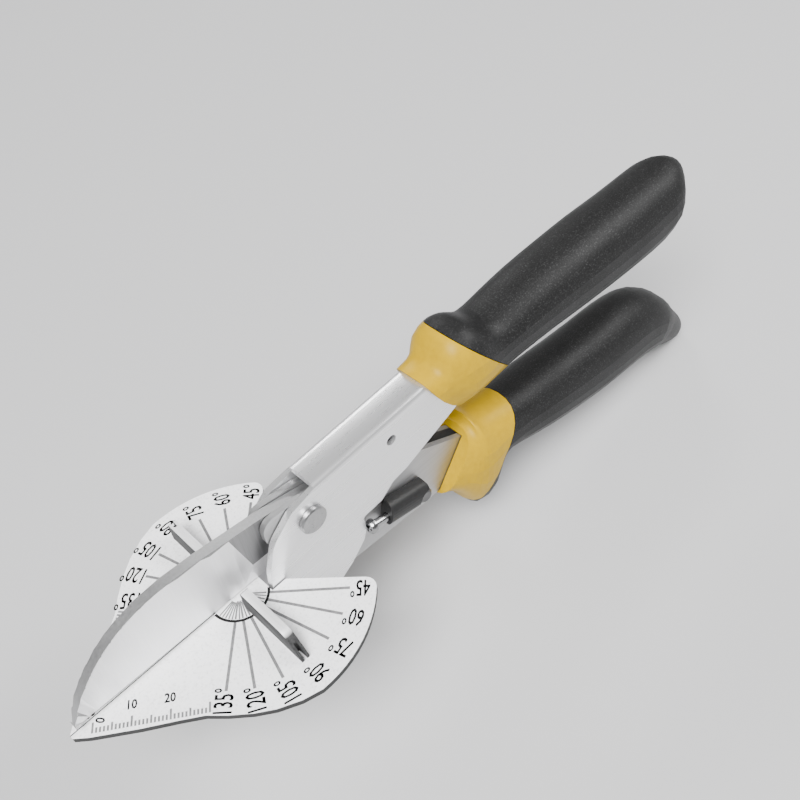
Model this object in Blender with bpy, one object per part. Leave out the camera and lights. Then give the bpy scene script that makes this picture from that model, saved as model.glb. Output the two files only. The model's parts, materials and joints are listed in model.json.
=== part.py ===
"""Mitre shears: an anvil shear whose blade meets a protractor plate with two fences.

Lengths are in metres and +Z is up. While the pieces are made, X runs from the plate's tip
to the handles, Z = 0 is the plate's top face and the plate's angle centre is at the origin.
At the end the whole assembly is set down with its bounding box's bottom centre at the origin.
The upper handle carries the plate; the lower handle carries the blade and turns on the main
rivet; the lock lever turns on its own rivet in the lower handle.
"""

import math

import bmesh
import bpy
from mathutils import Matrix, Vector

MM = 0.001

# Fits
GAP = 0.3 * MM
OVERRUN = 3.0 * MM
EDGE_SOFTNESS = 0.25 * MM

# Protractor plate, its top face at Z = 0
PLATE_TIP = 53.4 * MM
PLATE_RADIUS = 37.5 * MM
PLATE_THICKNESS = 2.0 * MM
PLATE_TIP_RADIUS = 1.2 * MM
LOBE_CORNER_RADIUS = 3.2 * MM
LOBE_END_ANGLE = math.radians(40.4)
REAR_EDGE_ANGLE = math.radians(47.0)
SLOT_FRONT = 6.9 * MM
GROOVE_WIDTH = 1.1 * MM
GROOVE_DEPTH = 0.5 * MM
GROOVE_END = 8.6 * MM
FLANK_SHARES = (
    (0.94, 0.095), (0.75, 0.302), (0.60, 0.452), (0.505, 0.552),
    (0.435, 0.662), (0.345, 0.782), (0.26, 0.872), (0.15, 0.953),
)
LOBE_STEPS = 14

# Fences, one each side of the blade at 90 degrees
FENCE_WIDTH = 2.5 * MM
FENCE_HEIGHT = 8.0 * MM
FENCE_OFFSET = -0.25 * MM
FENCE_START = 5.0 * MM
FENCE_TOP_END = 23.5 * MM
FENCE_END = 28.4 * MM
FENCE_TOE = 1.2 * MM
FENCE_INNER_RADIUS = 1.0 * MM
FENCE_NOSE_RADIUS = 5.0 * MM
FAR_FENCE_TOP_END = 27.7 * MM
FAR_FENCE_NOSE_RADIUS = 0.8 * MM
FENCE_SLOT_WIDTH = 0.9 * MM
FENCE_SLOT_START = 25.2 * MM
FENCE_SCREW_SHARES = (0.535, 0.775)
FENCE_SCREW_RADIUS = 0.8 * MM
FENCE_SCREW_REACH = 3.0 * MM
FENCE_SCREW_HEAD_RADIUS = 1.7 * MM
FENCE_SCREW_HEAD = 1.0 * MM

# Main pivot
PIVOT_X = 24.7 * MM
PIVOT_Z = 14.2 * MM
PIVOT_RADIUS = 3.0 * MM
RIVET_HEAD_RADIUS = 4.3 * MM
RIVET_HEAD = 1.5 * MM
RIVET_HEAD_SOFTNESS = 0.35 * MM
REST_OPENING = math.radians(1.5)
EDGE_STANDOFF = 0.15 * MM

# Sheet thicknesses and the stack across the pivot
BLADE_THICKNESS = 3.0 * MM
INNER_SHEET = 1.8 * MM
OUTER_SHEET = 2.0 * MM
STACK_GAP = 0.2 * MM
INNER_HALF = BLADE_THICKNESS / 2 + STACK_GAP + INNER_SHEET
OUTER_HALF = INNER_HALF + GAP + OUTER_SHEET

# Blade
BLADE_REACH = 51.3 * MM
BLADE_HEIGHT = 26.4 * MM
BLADE_HEEL = 14.0 * MM
EDGE_LAND = 0.24 * MM
BACK_BAND = 0.3 * MM
BACK_SHARES = (
    (-1.0, 0.125), (-0.957, 0.29), (-0.914, 0.428), (-0.856, 0.56), (-0.805, 0.659),
    (-0.723, 0.784), (-0.653, 0.862), (-0.581, 0.922), (-0.462, 0.98), (-0.308, 1.0),
    (-0.113, 0.966), (0.053, 0.917), (0.25, 0.86),
)
GRIND_END_X = 2.7 * MM
GRIND_HEEL_Z = 8.4 * MM
BLADE_TANG_REACH = 46.0 * MM
BLADE_TANG_TOP = 18.2 * MM
BLADE_TANG_SHARES = (
    (0.674, 1.0, 0.33), (1.0, 0.495, 0.165), (0.978, -0.44, 0.165), (0.674, -0.275, 0.33),
    (0.391, 0.132, 0.22),
)
BLADE_RIVET_X = 38.0 * MM
BLADE_RIVET_Z = 2.5 * MM
BLADE_RIVET_RADIUS = 2.0 * MM

# Upper handle's channel: arched web above, open below, and the jaw under the plate
WEB_FRONT = 28.3 * MM
WEB_FRONT_Z = 24.4 * MM
WEB_MID_X = 75.0 * MM
WEB_MID_Z = 27.2 * MM
TANG_TOP_Z = 26.0 * MM
TANG_BOTTOM_Z = 13.0 * MM
ARCH_RISE = 5.3 * MM
ARCH_SQUARENESS = 5.0
ARCH_STEPS = 16
CHEEK_FRONT_X = 19.5 * MM
CHEEK_FRONT_Z = 21.6 * MM
CHEEK_FRONT_SHARES = (
    (1.0, 1.0, 0.23), (0.615, 0.722, 0.42), (0.426, 0.278, 0.555), (0.369, -0.046, 0.0),
)
JAW_FRONT = 44.0 * MM
JAW_FRONT_DEPTH = 2.6 * MM
JAW_DEEP_X = 20.0 * MM
JAW_DEPTH = 26.5 * MM
JAW_RADIUS = 6.0 * MM
REAR_EDGE_X = 39.2 * MM
REAR_EDGE_Z = -12.7 * MM
REAR_EDGE_SHARES = ((0.855, 1.433, 0.24), (1.0, 1.0, 0.12))
REAR_UPPER_X = 90.0 * MM
REAR_UPPER_Z = 13.05 * MM
REAR_UPPER_SHARES = (
    (0.536, -0.20, 0.115), (0.594, 0.092, 0.305), (0.656, 0.153, 0.46), (1.0, 1.0, 0.61),
)
SMALL_HOLE_X = 55.4 * MM
SMALL_HOLE_Z = 18.0 * MM
SMALL_HOLE_RADIUS = 1.75 * MM
FLANGE_WIDTH = 7.0 * MM
FLANGE_THICKNESS = 1.8 * MM
FLANGE_FRONT = -30.0 * MM
FLANGE_BACK = 4.5 * MM
FLANGE_RADIUS = 2.5 * MM
PLATE_RIVET_SHARES = (0.835, 0.165)
PLATE_RIVET_RADIUS = 1.4 * MM
PLATE_RIVET_HEAD_RADIUS = 2.4 * MM
PLATE_RIVET_HEAD = 0.9 * MM

# Lower handle's channel: web below, open above
NOSE_X = 11.3 * MM
NOSE_TOP_Z = 22.7 * MM
INNER_SHOULDER_X = 28.0 * MM
INNER_SHOULDER_Z = 20.6 * MM
INNER_SHOULDER_RADIUS = 14.0 * MM
INNER_SLOPE_X = 66.9 * MM
INNER_SLOPE_Z = 0.6 * MM
INNER_NECK_X = 96.0 * MM
INNER_NECK_TOP_Z = -15.0 * MM
INNER_NECK_BOTTOM_Z = -23.6 * MM
INNER_TANG_END_Z = -25.5 * MM
INNER_TANG_DEPTH = 11.0 * MM
INNER_WEB_X = 68.0 * MM
INNER_WEB_Z = -24.8 * MM
INNER_BOTTOM_SHARES = (
    (1.0, 1.0, 0.48), (0.706, 0.91, 0.4), (0.507, 0.85, 0.12), (0.397, 0.24, 0.32),
    (0.228, -0.24, 0.24), (0.166, -0.605, 0.2),
)
NOSE_RADIUS = 3.8 * MM
INNER_WEB_FRONT = 40.0 * MM
BEND_RADIUS = 1.5 * MM

# Safety lock: a strut lever whose screw head stands against the upper handle's notch
LOCK_PIVOT_X = 63.2 * MM
LOCK_PIVOT_Z = -14.7 * MM
LOCK_TIP_X = 41.3 * MM
LOCK_TIP_Z = -8.8 * MM
LOCK_Y = -6.3 * MM
LOCK_UPPER = 5.3 * MM
LOCK_LOWER = 3.3 * MM
LOCK_DEPTH = 5.0 * MM
LOCK_SIDE = 0.9 * MM
LOCK_FRONT = 7.2 * MM
LOCK_REAR = 0.4 * MM
LOCK_END_RADIUS = 2.5 * MM
LOCK_SQUARENESS = 2.3
LOCK_RECESS_RADIUS = 3.1 * MM
LOCK_FLOOR = 1.3 * MM
LOCK_RIVET_RADIUS = 1.5 * MM
LOCK_RIVET_HEAD_RADIUS = 2.55 * MM
LOCK_RIVET_HEAD = 1.2 * MM
LOCK_SCREW_HEAD_RADIUS = 2.35 * MM
LOCK_SCREW_HEAD = 1.7 * MM
LOCK_SCREW_RADIUS = 1.4 * MM
LOCK_SCREW_LENGTH = 13.0 * MM
LOCK_CROSS_WIDTH = 0.7 * MM
LOCK_CROSS_LENGTH = 2.6 * MM
LOCK_CROSS_DEPTH = 0.8 * MM
LOCK_STANDOFF = 0.55 * MM
NOTCH_FOOT_Z = -9.0 * MM
NOTCH_LEDGE_Z = -3.1 * MM

# Return spring on its pin, hidden between the two channels
COIL_TURNS = 3
COIL_POINTS_PER_TURN = 10
COIL_RADIUS = 3.3 * MM
WIRE_RADIUS = 0.6 * MM
COIL_PITCH = 1.7 * MM
SPRING_PIN_RECESS = 1.5 * MM
UPPER_LEG = 15.0 * MM
LOWER_LEG = 8.6 * MM

# Grips: one long body for each handle, cut by a slanted seam into collar and grip.
# Each station is x, the centre line's z, half width, height over and height under the centre
# line, as shares of the grip's length, its centre line's height and its greatest halves.
# The stations up to the front share are spread over the collar's own length
GRIP_HALF_WIDTH = 12.5 * MM
GRIP_HALF_HEIGHT = 14.0 * MM
FRONT_SHARE = 0.25
UPPER_GRIP_START = 66.0 * MM
UPPER_GRIP_LENGTH = 134.0 * MM
UPPER_COLLAR_LENGTH = 33.5 * MM
TANG_COVER = 35.0 * MM
TANG_END = UPPER_GRIP_START + UPPER_GRIP_LENGTH - TANG_COVER
UPPER_GRIP_Z = 21.0 * MM
UPPER_GRIP_SHARES = (
    (0.0, 0.84, 0.61, 0.75, 0.785), (0.034, 0.865, 0.63, 0.725, 0.83), (0.067, 0.905, 0.67, 0.665, 0.855),
    (0.097, 0.95, 0.72, 0.685, 0.9), (0.123, 0.99, 0.895, 0.98, 0.81), (0.149, 1.01, 0.96, 1.07, 0.75),
    (0.175, 1.015, 0.975, 1.02, 0.78), (0.201, 1.01, 0.945, 0.83, 0.815), (0.231, 1.0, 0.895, 0.67, 0.86),
    (0.269, 1.0, 0.88, 0.645, 0.855), (0.321, 1.0, 0.905, 0.725, 0.82), (0.41, 1.005, 0.95, 0.82, 0.835),
    (0.515, 0.985, 0.985, 0.875, 0.9), (0.627, 0.95, 1.0, 0.945, 0.93), (0.739, 0.92, 0.99, 0.955, 0.97),
    (0.836, 0.93, 0.96, 0.965, 1.03), (0.896, 0.985, 0.93, 0.87, 0.82), (0.926, 0.985, 0.76, 0.86, 0.74),
    (0.947, 0.98, 0.58, 0.79, 0.63), (0.964, 0.97, 0.4, 0.66, 0.52), (0.977, 0.965, 0.25, 0.46, 0.38),
    (0.984, 0.96, 0.1, 0.2, 0.16),
)
LOWER_GRIP_START = 66.0 * MM
LOWER_GRIP_LENGTH = 143.0 * MM
LOWER_COLLAR_LENGTH = 35.75 * MM
INNER_TANG_COVER = 43.0 * MM
INNER_TANG_END_X = LOWER_GRIP_START + LOWER_GRIP_LENGTH - INNER_TANG_COVER
LOWER_GRIP_Z = -60.0 * MM
LOWER_GRIP_SHARES = (
    (0.0, 0.203, 0.45, 0.75, 0.885), (0.035, 0.233, 0.48, 0.785, 0.82), (0.063, 0.267, 0.575, 0.855, 0.78),
    (0.091, 0.308, 0.735, 1.0, 0.68), (0.119, 0.338, 0.865, 1.14, 0.93), (0.147, 0.35, 0.945, 1.215, 1.68),
    (0.175, 0.35, 0.96, 1.14, 1.675), (0.203, 0.343, 0.93, 1.0, 0.8), (0.238, 0.343, 0.905, 0.885, 0.5),
    (0.308, 0.365, 0.92, 0.845, 0.715), (0.385, 0.4, 0.96, 0.915, 0.82), (0.483, 0.448, 0.985, 1.0, 0.86),
    (0.587, 0.488, 1.0, 1.055, 0.895), (0.685, 0.517, 1.0, 1.12, 0.865), (0.769, 0.543, 0.975, 1.06, 0.91),
    (0.839, 0.597, 0.945, 0.8, 0.915), (0.885, 0.683, 0.81, 0.59, 0.82), (0.923, 0.775, 0.72, 0.51, 0.65),
    (0.958, 0.867, 0.59, 0.46, 0.465), (0.983, 0.933, 0.44, 0.38, 0.28), (0.994, 0.962, 0.24, 0.24, 0.14),
)
GRIP_RING_POINTS = 24
FRONT_SQUARENESS = 3.2
GRIP_SQUARENESS = 2.3
SQUARE_UNTIL_SHARE = 0.3

# The collars' front edges, as shares of their run and fall, and the seams behind them
UPPER_FRONT_X = 69.9 * MM
UPPER_FRONT_Z = 28.2 * MM
UPPER_FRONT_RUN = 12.4 * MM
UPPER_FRONT_FALL = 18.1 * MM
UPPER_FRONT_SHARES = ((0.0, 0.0), (0.19, 0.29), (0.36, 0.5), (0.58, 0.7), (1.0, 1.0))
UPPER_SEAM_RUN = 18.8 * MM
UPPER_SEAM_LEAN = 0.82
LOWER_FRONT_X = 82.4 * MM
LOWER_FRONT_Z = -10.6 * MM
LOWER_FRONT_RUN = -14.8 * MM
LOWER_FRONT_FALL = 20.0 * MM
LOWER_FRONT_SHARES = ((0.0, 0.0), (1.0, 1.0))
LOWER_SEAM_RUN = 22.1 * MM
LOWER_SEAM_LEAN = -0.7
SEAM_HEIGHT = 60.0 * MM

ROUND_SIDES = 32
SMALL_SIDES = 20


def clear_scene():
    for obj in list(bpy.data.objects):
        bpy.data.objects.remove(obj, do_unlink=True)


def collection(name):
    group = bpy.data.collections.new(name)
    bpy.context.scene.collection.children.link(group)
    return group


def material(name, colour, roughness, metallic):
    mat = bpy.data.materials.new(name)
    mat.use_nodes = True
    shader = mat.node_tree.nodes["Principled BSDF"]
    shader.inputs["Base Color"].default_value = (*colour, 1.0)
    shader.inputs["Roughness"].default_value = roughness
    shader.inputs["Metallic"].default_value = metallic
    return mat


def new_object(name, mesh, group):
    obj = bpy.data.objects.new(name, mesh)
    group.objects.link(obj)
    return obj


def scaled(shares, width, height):
    """Corners from a table of shares: u is of the width, v and the radius are of the height."""
    return [(u * width, v * height, radius * abs(height)) for u, v, radius in shares]


def rounded(corners, steps=5):
    """A closed outline from corners (u, v, radius); a corner of radius zero stays sharp."""
    points = []
    count = len(corners)
    for i, (u, v, radius) in enumerate(corners):
        here = Vector((u, v))
        if radius <= 0.0:
            points.append(here)
            continue
        before = (Vector(corners[i - 1][:2]) - here).normalized()
        after = (Vector(corners[(i + 1) % count][:2]) - here).normalized()
        half = before.angle(after) / 2
        middle = here + (before + after).normalized() * (radius / math.sin(half))
        start = here + before * (radius / math.tan(half)) - middle
        turn = start.angle_signed(here + after * (radius / math.tan(half)) - middle)
        for k in range(steps + 1):
            points.append(middle + Matrix.Rotation(-turn * k / steps, 2) @ start)
    return points


def welded_mesh(obj, name):
    """The evaluated mesh of a curve object, with its caps joined to its sides."""
    depsgraph = bpy.context.evaluated_depsgraph_get()
    mesh = bpy.data.meshes.new_from_object(obj.evaluated_get(depsgraph))
    mesh.name = name
    form = bmesh.new()
    form.from_mesh(mesh)
    bmesh.ops.remove_doubles(form, verts=form.verts, dist=MM / 1000)
    bmesh.ops.dissolve_limit(form, angle_limit=math.radians(0.1), verts=form.verts, edges=form.edges)
    bmesh.ops.recalc_face_normals(form, faces=form.faces)
    form.to_mesh(mesh)
    form.free()
    bpy.data.objects.remove(obj, do_unlink=True)
    return mesh


def flat_solid(name, outline, low, high, group, upright):
    """An outline made solid from low to high: along Y if upright, or else along Z."""
    curve = bpy.data.curves.new(name, "CURVE")
    curve.dimensions = "2D"
    curve.fill_mode = "BOTH"
    curve.extrude = (high - low) / 2
    spline = curve.splines.new("POLY")
    spline.points.add(len(outline) - 1)
    for point, place in zip(spline.points, outline):
        point.co = (place[0], place[1], 0.0, 1.0)
    spline.use_cyclic_u = True
    source = new_object(name + "_outline", curve, group)
    mesh = welded_mesh(source, name)
    middle = (low + high) / 2
    if upright:
        mesh.transform(Matrix.Translation((0.0, middle, 0.0)) @ Matrix.Rotation(math.radians(90), 4, "X"))
    else:
        mesh.transform(Matrix.Translation((0.0, 0.0, middle)))
    return new_object(name, mesh, group)


def lofted(name, rings, group):
    """A closed body through rings of points, with a flat face at each end."""
    form = bmesh.new()
    loops = [[form.verts.new(point) for point in ring] for ring in rings]
    for one, two in zip(loops, loops[1:]):
        for k in range(len(one)):
            form.faces.new((one[k - 1], one[k], two[k], two[k - 1]))
    form.faces.new(loops[0])
    form.faces.new(loops[-1])
    bmesh.ops.recalc_face_normals(form, faces=form.faces)
    mesh = bpy.data.meshes.new(name)
    form.to_mesh(mesh)
    form.free()
    return new_object(name, mesh, group)


def arch(half, rise, squareness):
    """Points of an arch from its right foot over the crown to its left foot."""
    points = []
    for k in range(ARCH_STEPS + 1):
        c, s = math.cos(math.pi * k / ARCH_STEPS), math.sin(math.pi * k / ARCH_STEPS)
        across = math.copysign(abs(c) ** (2 / squareness), c)
        points.append((across * half, abs(s) ** (2 / squareness) * rise))
    return points


def rod(name, radius, start, end, group, sides=ROUND_SIDES):
    """A cylinder between two points."""
    start, end = Vector(start), Vector(end)
    form = bmesh.new()
    bmesh.ops.create_cone(form, cap_ends=True, segments=sides, radius1=radius, radius2=radius,
                          depth=(end - start).length)
    mesh = bpy.data.meshes.new(name)
    form.to_mesh(mesh)
    form.free()
    turn = (end - start).to_track_quat("Z", "Y").to_matrix().to_4x4()
    mesh.transform(Matrix.Translation((start + end) / 2) @ turn)
    return new_object(name, mesh, group)


def turned(name, profile, base, direction, group, sides=ROUND_SIDES):
    """A turned piece: profile pairs (radius, height) run down its outer side, base to base."""
    mesh = bpy.data.meshes.new(name)
    form = bmesh.new()
    points = [form.verts.new((radius, 0.0, height)) for radius, height in profile]
    for one, two in zip(points, points[1:]):
        form.edges.new((one, two))
    bmesh.ops.spin(form, geom=form.verts[:] + form.edges[:], cent=(0, 0, 0), axis=(0, 0, 1),
                   angle=2 * math.pi, steps=sides, use_merge=True)
    bmesh.ops.remove_doubles(form, verts=form.verts, dist=MM / 1000)
    bmesh.ops.recalc_face_normals(form, faces=form.faces)
    form.to_mesh(mesh)
    form.free()
    turn = Vector(direction).to_track_quat("Z", "Y").to_matrix().to_4x4()
    mesh.transform(Matrix.Translation(base) @ turn)
    return new_object(name, mesh, group)


def boolean(target, cutter, operation="DIFFERENCE"):
    step = target.modifiers.new(cutter.name, "BOOLEAN")
    step.operation = operation
    step.solver = "EXACT"
    step.object = cutter
    cutter.hide_render = True
    cutter.display_type = "WIRE"


def soften_edges(obj, width, segments, chosen):
    """Rounds the mesh edges whose two ends both pass the test."""
    form = bmesh.new()
    form.from_mesh(obj.data)
    edges = [e for e in form.edges if chosen(e.verts[0].co, e.verts[1].co) and e.calc_face_angle(0.0) > 0.5]
    bmesh.ops.bevel(form, geom=edges, offset=width, segments=segments, profile=0.5,
                    affect="EDGES", clamp_overlap=True)
    form.to_mesh(obj.data)
    form.free()


def smooth_round(obj):
    obj.data.shade_smooth()
    obj.data.set_sharp_from_angle(angle=math.radians(35))


def plate_outline():
    """Half the leaf shape from the tip round the lobe to the slot, then its mirror image."""
    half = [(-PLATE_TIP, -PLATE_TIP_RADIUS / 2, 0.0)]
    half += [(-PLATE_TIP * u, -PLATE_RADIUS * v, 0.0) for u, v in FLANK_SHARES]
    start = math.radians(94)
    for k in range(LOBE_STEPS):
        angle = start + (LOBE_END_ANGLE - start) * k / (LOBE_STEPS - 1)
        radius = LOBE_CORNER_RADIUS if k == LOBE_STEPS - 1 else 0.0
        half.append((PLATE_RADIUS * math.cos(angle), -PLATE_RADIUS * math.sin(angle), radius))
    slot_y = OUTER_HALF + GAP
    corner = Vector((PLATE_RADIUS * math.cos(LOBE_END_ANGLE), -PLATE_RADIUS * math.sin(LOBE_END_ANGLE)))
    rear_x = corner.x - (-corner.y - slot_y) / math.tan(REAR_EDGE_ANGLE)
    half.append((rear_x, -slot_y, 0.0))
    half.append((SLOT_FRONT, -slot_y, 0.0))
    return half + [(x, -y, radius) for x, y, radius in reversed(half)]


def edge_height(x):
    """The cutting edge above the plate at rest."""
    return EDGE_STANDOFF + math.tan(REST_OPENING) * (PIVOT_X - x)


def back_points():
    return [(BLADE_REACH * u, BLADE_HEIGHT * v) for u, v in BACK_SHARES]


def grind_stations():
    """Along the blade: x, top of the ground face and height of the cutting edge."""
    stations = []
    back = back_points()
    for x, z in back:
        if x < GRIND_END_X:
            stations.append((x, z - BACK_BAND, edge_height(x)))
    last_x, last_z = stations[-1][0], stations[-1][1]
    stations.append((GRIND_END_X, last_z + (GRIND_END_X - last_x) * -0.16, edge_height(GRIND_END_X)))
    stations.append((BLADE_HEEL, GRIND_HEEL_Z, edge_height(BLADE_HEEL)))
    first = stations[0]
    stations.insert(0, (first[0] - OVERRUN, first[1], first[2]))
    return stations


def grind_cutter(side, group):
    """The space that grinding takes off one face of the blade, as a loft along it."""
    half = BLADE_THICKNESS / 2
    land = EDGE_LAND / 2
    rings = []
    for x, top, edge in grind_stations():
        rise = (top - edge) / (half - land)
        section = (
            (land, edge), (half + OVERRUN, edge + rise * (half + OVERRUN - land)),
            (half + 2 * OVERRUN, edge - OVERRUN), (land, edge - OVERRUN),
        )
        rings.append([Vector((x, side * y, z)) for y, z in section])
    return lofted("grind_near" if side < 0 else "grind_far", rings, group)


def grip_stations(shares, start, length, collar, middle_z):
    """Stations of a handle: x, centre line z, half width, height over and height under it."""
    stations = []
    for along, z, wide, over, under in shares:
        x = collar * min(along / FRONT_SHARE, 1.0)
        x += (length - collar) * max((along - FRONT_SHARE) / (1.0 - FRONT_SHARE), 0.0)
        stations.append(Vector((start + x, z * middle_z, wide * GRIP_HALF_WIDTH, over * GRIP_HALF_HEIGHT,
                                under * GRIP_HALF_HEIGHT)))
    return stations


def grip_rings(stations):
    """Closed rings across a handle, square to its centre line."""
    fine = []
    for i in range(len(stations) - 1):
        before = stations[max(i - 1, 0)]
        after = stations[min(i + 2, len(stations) - 1)]
        one, two = stations[i], stations[i + 1]
        for t in (0.0, 0.5):
            fine.append(0.5 * (2 * one + (two - before) * t
                               + (2 * before - 5 * one + 4 * two - after) * t * t
                               + (3 * one - before - 3 * two + after) * t * t * t))
    fine.append(stations[-1])
    rings = []
    for i, place in enumerate(fine):
        ahead, behind = fine[min(i + 1, len(fine) - 1)], fine[max(i - 1, 0)]
        along = Vector((ahead[0] - behind[0], 0.0, ahead[1] - behind[1])).normalized()
        up = Vector((-along.z, 0.0, along.x))
        share = min(1.0, i / (len(fine) - 1) / SQUARE_UNTIL_SHARE)
        power = 2 / (FRONT_SQUARENESS + (GRIP_SQUARENESS - FRONT_SQUARENESS) * share)
        centre = Vector((place[0], 0.0, place[1]))
        ring = []
        for k in range(GRIP_RING_POINTS):
            angle = 2 * math.pi * k / GRIP_RING_POINTS
            c, s = math.cos(angle), math.sin(angle)
            y = place[2] * math.copysign(abs(c) ** power, c)
            h = (place[3] if s > 0 else -place[4]) * abs(s) ** power
            ring.append(centre + up * h + Vector((0.0, y, 0.0)))
        rings.append(ring)
    return rings


def front_line(x, z, run, fall, shares):
    """A collar's front edge seen from the side, from the top down."""
    return [(x + run * u, z - fall * v) for u, v in shares]


def seam_line(x, z, fall, lean):
    """The slanted seam between collar and grip seen from the side, from the top down."""
    return [(x, z), (x + lean * fall, z - fall)]


def seam_block(name, line, shift, front, group):
    """A block that holds everything in front of, or behind, a line moved along X by the shift."""
    (x0, z0), (x1, z1) = line[:2]
    (x2, z2), (x3, z3) = line[-2:]
    high, low = z0 + SEAM_HEIGHT, z3 - SEAM_HEIGHT
    first = x0 + (x0 - x1) / (z0 - z1) * SEAM_HEIGHT
    last = x3 + (x3 - x2) / (z2 - z3) * SEAM_HEIGHT
    far = x0 + (-3 * SEAM_HEIGHT if front else 3 * SEAM_HEIGHT)
    outline = [(first, high)] + list(line) + [(last, low), (far, low), (far, high)]
    return flat_solid(name, [(x + shift, z) for x, z in outline], -SEAM_HEIGHT, SEAM_HEIGHT, group, True)


def web_line(x):
    """Height of the upper handle's web, on its top face."""
    if x <= WEB_MID_X:
        return WEB_FRONT_Z + (WEB_MID_Z - WEB_FRONT_Z) * (x - WEB_FRONT) / (WEB_MID_X - WEB_FRONT)
    return WEB_MID_Z + (TANG_TOP_Z - WEB_MID_Z) * (x - WEB_MID_X) / (TANG_END - WEB_MID_X)


def lock_axes():
    """Unit vectors along the strut, from its rivet to the notch, and across it, upwards."""
    along = Vector((LOCK_TIP_X - LOCK_PIVOT_X, LOCK_TIP_Z - LOCK_PIVOT_Z)).normalized()
    return along, Vector((-along.y, along.x)) * (-1 if along.x < 0 else 1)


def notch_corners():
    """The notch in the cheek's rear edge: a wall for the screw head and a ledge above it."""
    wall_x = LOCK_TIP_X - LOCK_STANDOFF
    return [(wall_x, NOTCH_FOOT_Z, MM / 2), (wall_x, NOTCH_LEDGE_Z, MM)]


def spine_cutter(name, grow, group):
    """All that lies over and beside the upper handle's arched web, less a gap to grow it by."""
    wide, high = OUTER_HALF + OVERRUN, ARCH_RISE + 2 * OVERRUN
    section = arch(OUTER_HALF + grow, ARCH_RISE, ARCH_SQUARENESS)
    section += [(-wide, 0.0), (-wide, high), (wide, high), (wide, 0.0)]
    rings = []
    for x in (-OVERRUN, WEB_MID_X, TANG_END + OVERRUN):
        base = web_line(x) - ARCH_RISE + grow
        rings.append([Vector((x, y, base + z)) for y, z in section])
    return lofted(name, rings, group)


def upper_channel_outline():
    corners = [(WEB_FRONT, WEB_FRONT_Z + OVERRUN, 0.0), (WEB_FRONT, WEB_FRONT_Z - MM, 0.0)]
    cheek = scaled(CHEEK_FRONT_SHARES, CHEEK_FRONT_X, CHEEK_FRONT_Z)
    top = -PLATE_THICKNESS - GAP
    corners += cheek + [(cheek[-1][0], top, 0.0), (-JAW_FRONT, top, 0.0)]
    corners += [(-JAW_FRONT, top - JAW_FRONT_DEPTH, 0.0), (JAW_DEEP_X, -JAW_DEPTH, JAW_RADIUS)]
    corners += scaled(REAR_EDGE_SHARES, REAR_EDGE_X, REAR_EDGE_Z) + notch_corners()
    corners += scaled(REAR_UPPER_SHARES, REAR_UPPER_X, REAR_UPPER_Z)
    corners += [(TANG_END, TANG_BOTTOM_Z, 0.0), (TANG_END, TANG_TOP_Z + OVERRUN, 0.0),
                (WEB_MID_X, WEB_MID_Z + OVERRUN, 0.0)]
    return rounded(corners)


def lower_channel_outline():
    corners = [(NOSE_X, NOSE_TOP_Z, NOSE_RADIUS), (INNER_SHOULDER_X, INNER_SHOULDER_Z, INNER_SHOULDER_RADIUS)]
    corners += [(INNER_SLOPE_X, INNER_SLOPE_Z, 0.0), (INNER_NECK_X, INNER_NECK_TOP_Z, 0.0)]
    corners += [(INNER_TANG_END_X, INNER_TANG_END_Z, 0.0),
                (INNER_TANG_END_X, INNER_TANG_END_Z - INNER_TANG_DEPTH, 0.0)]
    corners += [(INNER_NECK_X, INNER_NECK_BOTTOM_Z, 0.0)]
    return rounded(corners + scaled(INNER_BOTTOM_SHARES, INNER_WEB_X, INNER_WEB_Z))


def inner_floor():
    """The lower channel's inner floor, from its web's front to the tang."""
    corners = scaled(INNER_BOTTOM_SHARES, INNER_WEB_X, INNER_WEB_Z)
    (rear_x, rear_z), (front_x, front_z) = corners[1][:2], corners[2][:2]
    share = (INNER_WEB_FRONT - front_x) / (rear_x - front_x)
    points = [(INNER_WEB_FRONT, front_z + (rear_z - front_z) * share), (rear_x, rear_z),
              (INNER_WEB_X, INNER_WEB_Z), (INNER_NECK_X, INNER_NECK_BOTTOM_Z)]
    return [(x, z + INNER_SHEET) for x, z in points]


class Assembly:
    """Keeps the collections, the moving frames and what hangs from each of them."""

    def __init__(self):
        self.parts = collection("mitre_shears")
        self.cutters = collection("mitre_shears_cutters")
        self.root = self.frame("shears_frame", (0.0, 0.0, 0.0), None)
        self.lower = self.frame("lower_handle_axis", (PIVOT_X, 0.0, PIVOT_Z), self.root)
        self.lock = self.frame("lock_lever_axis", (LOCK_PIVOT_X, 0.0, LOCK_PIVOT_Z), self.lower)

    def frame(self, name, place, parent):
        empty = bpy.data.objects.new(name, None)
        self.parts.objects.link(empty)
        empty.parent = parent
        above = Vector((0.0, 0.0, 0.0))
        while parent:
            above += parent.location
            parent = parent.parent
        empty.location = Vector(place) - above
        return empty

    def hang(self, obj, frame, mat=None):
        """Puts a piece, and the cutters in its modifiers, under a frame without moving it."""
        above = Vector((0.0, 0.0, 0.0))
        step = frame
        while step:
            above += step.location
            step = step.parent
        obj.parent = frame
        obj.location = -above
        if mat:
            obj.data.materials.clear()
            obj.data.materials.append(mat)
        for modifier in obj.modifiers:
            if modifier.type == "BOOLEAN" and modifier.object.parent is None:
                self.hang(modifier.object, frame)
        return obj


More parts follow.
